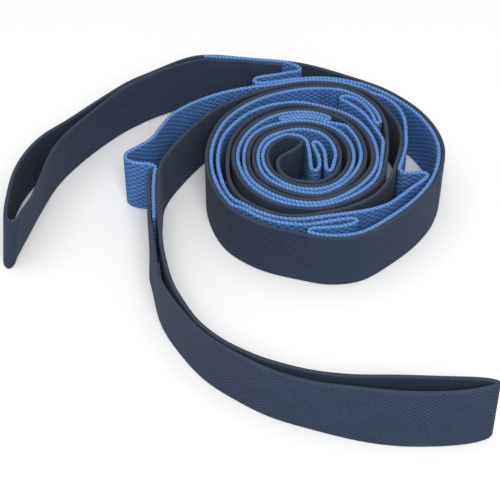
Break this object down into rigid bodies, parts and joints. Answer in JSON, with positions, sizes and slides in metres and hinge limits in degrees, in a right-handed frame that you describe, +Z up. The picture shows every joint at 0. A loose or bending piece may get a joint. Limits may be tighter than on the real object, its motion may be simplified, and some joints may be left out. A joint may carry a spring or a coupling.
{
  "type": "stretching strap",
  "caption": "Flat woven strap of black backing and blue grip loops, folded in half and coiled on edge, with a sewn handle loop at each end.",
  "frame": {"origin": "centre of the overall box in plan, on the surface the strap stands on", "axes": "+Z up along the width of the webbing, +Y towards the seam of handle A at the back, +X towards the outer turn on the right"},
  "size_m": [0.2816, 0.3104, 0.038],
  "materials": {
    "black_webbing": "matt close weave, dark slate navy",
    "blue_webbing": "matt coarse basket weave, mid blue with paler edges",
    "sewn_seam": "black and blue webbing stitched flat together"
  },
  "bodies": {
    "coil": {"backing_a1": "black_webbing", "backing_a2": "black_webbing", "backing_a3": "black_webbing", "backing_a4": "black_webbing", "backing_a5": "black_webbing", "backing_a6": "black_webbing", "backing_b1": "black_webbing", "backing_b2": "black_webbing", "backing_b3": "black_webbing", "backing_b4": "black_webbing", "backing_b5": "black_webbing", "backing_middle": "black_webbing", "grip_loop_a1": "blue_webbing", "grip_loop_a2": "blue_webbing", "grip_loop_a3": "blue_webbing", "grip_loop_a4": "blue_webbing", "grip_loop_a5": "blue_webbing", "grip_loop_a6": "blue_webbing", "grip_loop_b1": "blue_webbing", "grip_loop_b2": "blue_webbing", "grip_loop_b3": "blue_webbing", "grip_loop_b4": "blue_webbing", "grip_loop_b5": "blue_webbing", "grip_loop_middle_1": "blue_webbing", "grip_loop_middle_2": "blue_webbing", "grip_loop_middle_3": "blue_webbing", "grip_loop_middle_4": "blue_webbing", "seam_a1": "sewn_seam", "seam_a2": "sewn_seam", "seam_a3": "sewn_seam", "seam_a4": "sewn_seam", "seam_a5": "sewn_seam", "seam_a6": "sewn_seam", "seam_b1": "sewn_seam", "seam_b2": "sewn_seam", "seam_b3": "sewn_seam", "seam_b4": "sewn_seam", "seam_b5": "sewn_seam", "handle_seam_a": "sewn_seam"},
    "handle_a": {"handle_a_back": "black_webbing", "handle_a_front": "black_webbing"},
    "handle_a_end": {"handle_a_end": "black_webbing"},
    "lead_b": {"backing_b1_lead": "black_webbing", "grip_loop_b1_lead": "blue_webbing", "handle_seam_b": "sewn_seam"},
    "handle_b": {"handle_b_back": "black_webbing", "handle_b_front": "black_webbing"},
    "handle_b_end": {"handle_b_end": "black_webbing"}
  },
  "joints": [
    {"name": "handle_a_swing", "type": "hinge", "parent": "coil", "child": "handle_a", "pos_m": [-0.0225, 0.151, 0.019], "axis": [0, 0, 1], "range_deg": [-20, 8]},
    {"name": "handle_a_end_flex", "type": "hinge", "parent": "handle_a", "child": "handle_a_end", "pos_m": [-0.106, 0.0865, 0.019], "axis": [0, 0, 1], "range_deg": [-15, 10]},
    {"name": "lead_b_swing", "type": "hinge", "parent": "coil", "child": "lead_b", "pos_m": [-0.02, 0.0965, 0.019], "axis": [0, 0, 1], "range_deg": [-5, 8]},
    {"name": "handle_b_swing", "type": "hinge", "parent": "lead_b", "child": "handle_b", "pos_m": [-0.0468, -0.0155, 0.019], "axis": [0, 0, 1], "range_deg": [-15, 20]},
    {"name": "handle_b_end_flex", "type": "hinge", "parent": "handle_b", "child": "handle_b_end", "pos_m": [0.0025, -0.1185, 0.019], "axis": [0, 0, 1], "range_deg": [-20, 25]}
  ]
}
